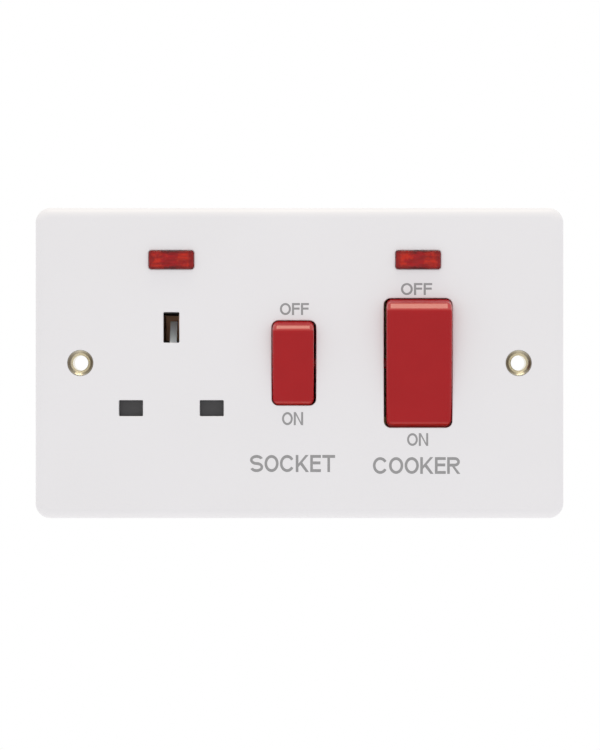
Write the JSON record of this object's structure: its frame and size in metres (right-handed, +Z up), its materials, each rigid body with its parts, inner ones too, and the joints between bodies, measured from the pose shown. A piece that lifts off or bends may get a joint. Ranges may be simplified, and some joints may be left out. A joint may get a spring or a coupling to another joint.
{
  "type": "cooker control unit",
  "caption": "Two-gang wall plate with a switched three-pin socket, a large double-pole cooker switch, red rockers and neon indicators, and rear cable terminals.",
  "frame": {"origin": "midway between the two fixing holes, on the wall plane at the back of the plate's rim", "axes": "+X to the right as seen from the room, +Y into the wall, +Z up"},
  "size_m": [0.146, 0.0389, 0.086],
  "materials": {
    "white_plastic": "smooth satin white moulding",
    "red_plastic": "smooth dark red moulding",
    "red_lens": "clear red polycarbonate",
    "lamp_glass": "clear glass",
    "resistor_body": "lacquered",
    "lead_wire": "sleeved wire",
    "black_moulding": "matt thermoset moulding",
    "grey_shutter": "dark moulded nylon",
    "plunger_nylon": "natural nylon",
    "spring_steel": "drawn wire",
    "silver_contact": "silver alloy",
    "plated_steel": "zinc plated",
    "brass": "stamped brass"
  },
  "bodies": {
    "housing": {"base_screws": "plated_steel", "cooker_live_fixed_tip": "silver_contact", "cooker_live_fulcrum": "brass", "cooker_live_load_strip": "brass", "cooker_neon_lamp": "lamp_glass", "cooker_neon_leads": "lead_wire", "cooker_neon_lens": "red_lens", "cooker_neon_resistor": "resistor_body", "cooker_neutral_fixed_tip": "silver_contact", "cooker_neutral_fulcrum": "brass", "cooker_neutral_load_strip": "brass", "earth_link": "brass", "earth_pin_contact": "brass", "earth_strap": "brass", "earth_terminal": "brass", "front_plate": "white_plastic", "left_fixing_sleeve": "brass", "live_link": "brass", "live_pin_contact": "brass", "load_live_terminal": "brass", "load_neutral_terminal": "brass", "neutral_link": "brass", "neutral_pin_contact": "brass", "rear_base": "black_moulding", "right_fixing_sleeve": "brass", "shutter_spring": "spring_steel", "socket_live_fixed_tip": "silver_contact", "socket_live_fulcrum": "brass", "socket_neon_lamp": "lamp_glass", "socket_neon_leads": "lead_wire", "socket_neon_lens": "red_lens", "socket_neon_resistor": "resistor_body", "socket_neutral_fixed_tip": "silver_contact", "socket_neutral_fulcrum": "brass", "supply_live_terminal": "brass", "supply_neutral_terminal": "brass", "terminal_screws": "plated_steel"},
    "cooker_rocker": {"cooker_rocker": "red_plastic", "cooker_live_spring": "spring_steel", "cooker_neutral_spring": "spring_steel"},
    "cooker_live_plunger": {"cooker_live_plunger": "plunger_nylon"},
    "cooker_live_arm": {"cooker_live_arm": "brass", "cooker_live_arm_tip": "silver_contact"},
    "cooker_neutral_plunger": {"cooker_neutral_plunger": "plunger_nylon"},
    "cooker_neutral_arm": {"cooker_neutral_arm": "brass", "cooker_neutral_arm_tip": "silver_contact"},
    "socket_rocker": {"socket_rocker": "red_plastic", "socket_live_spring": "spring_steel", "socket_neutral_spring": "spring_steel"},
    "socket_live_plunger": {"socket_live_plunger": "plunger_nylon"},
    "socket_live_arm": {"socket_live_arm": "brass", "socket_live_arm_tip": "silver_contact"},
    "socket_neutral_plunger": {"socket_neutral_plunger": "plunger_nylon"},
    "socket_neutral_arm": {"socket_neutral_arm": "brass", "socket_neutral_arm_tip": "silver_contact"},
    "shutter": {"shutter": "grey_shutter", "shutter_ramp": "plunger_nylon"}
  },
  "joints": [
    {"name": "cooker_rocker_tilt", "type": "hinge", "parent": "housing", "child": "cooker_rocker", "pos_m": [0.03264, -0.0046, 0], "axis": [-1, 0, 0], "range_deg": [0, 16]},
    {"name": "cooker_live_arm_rock", "type": "hinge", "parent": "housing", "child": "cooker_live_arm", "pos_m": [0.03814, 0.00892, 0], "axis": [-1, 0, 0], "range_deg": [-16, 0]},
    {"name": "cooker_live_plunger_slide", "type": "slide", "parent": "cooker_rocker", "child": "cooker_live_plunger", "axis": [0, -0.9903, -0.1392], "range_m": [0, 0.001], "stiffness_N_per_m": 600, "springref_m": -0.002, "deforming": ["cooker_live_spring"]},
    {"name": "cooker_neutral_arm_rock", "type": "hinge", "parent": "housing", "child": "cooker_neutral_arm", "pos_m": [0.02714, 0.00892, 0], "axis": [-1, 0, 0], "range_deg": [-16, 0]},
    {"name": "cooker_neutral_plunger_slide", "type": "slide", "parent": "cooker_rocker", "child": "cooker_neutral_plunger", "axis": [0, -0.9903, -0.1392], "range_m": [0, 0.001], "stiffness_N_per_m": 600, "springref_m": -0.002, "deforming": ["cooker_neutral_spring"]},
    {"name": "socket_rocker_tilt", "type": "hinge", "parent": "housing", "child": "socket_rocker", "pos_m": [-0.00154, -0.0046, 0], "axis": [-1, 0, 0], "range_deg": [0, 16]},
    {"name": "socket_live_arm_rock", "type": "hinge", "parent": "housing", "child": "socket_live_arm", "pos_m": [-0.00474, 0.00892, 0], "axis": [-1, 0, 0], "range_deg": [-16, 0]},
    {"name": "socket_live_plunger_slide", "type": "slide", "parent": "socket_rocker", "child": "socket_live_plunger", "axis": [0, -0.9903, -0.1392], "range_m": [0, 0.001], "stiffness_N_per_m": 600, "springref_m": -0.002, "deforming": ["socket_live_spring"]},
    {"name": "socket_neutral_arm_rock", "type": "hinge", "parent": "housing", "child": "socket_neutral_arm", "pos_m": [0.00166, 0.00892, 0], "axis": [-1, 0, 0], "range_deg": [-16, 0]},
    {"name": "socket_neutral_plunger_slide", "type": "slide", "parent": "socket_rocker", "child": "socket_neutral_plunger", "axis": [0, -0.9903, -0.1392], "range_m": [0, 0.001], "stiffness_N_per_m": 600, "springref_m": -0.002, "deforming": ["socket_neutral_spring"]},
    {"name": "shutter_slide", "type": "slide", "parent": "housing", "child": "shutter", "axis": [0, 0, -1], "range_m": [0, 0.006], "stiffness_N_per_m": 60, "springref_m": -0.003, "deforming": ["shutter_spring"]}
  ],
  "couplings": [
    {"joint": "cooker_live_arm_rock", "follows": "cooker_rocker_tilt", "ratio": -1},
    {"joint": "cooker_neutral_arm_rock", "follows": "cooker_rocker_tilt", "ratio": -1},
    {"joint": "socket_live_arm_rock", "follows": "socket_rocker_tilt", "ratio": -1},
    {"joint": "socket_neutral_arm_rock", "follows": "socket_rocker_tilt", "ratio": -1}
  ]
}
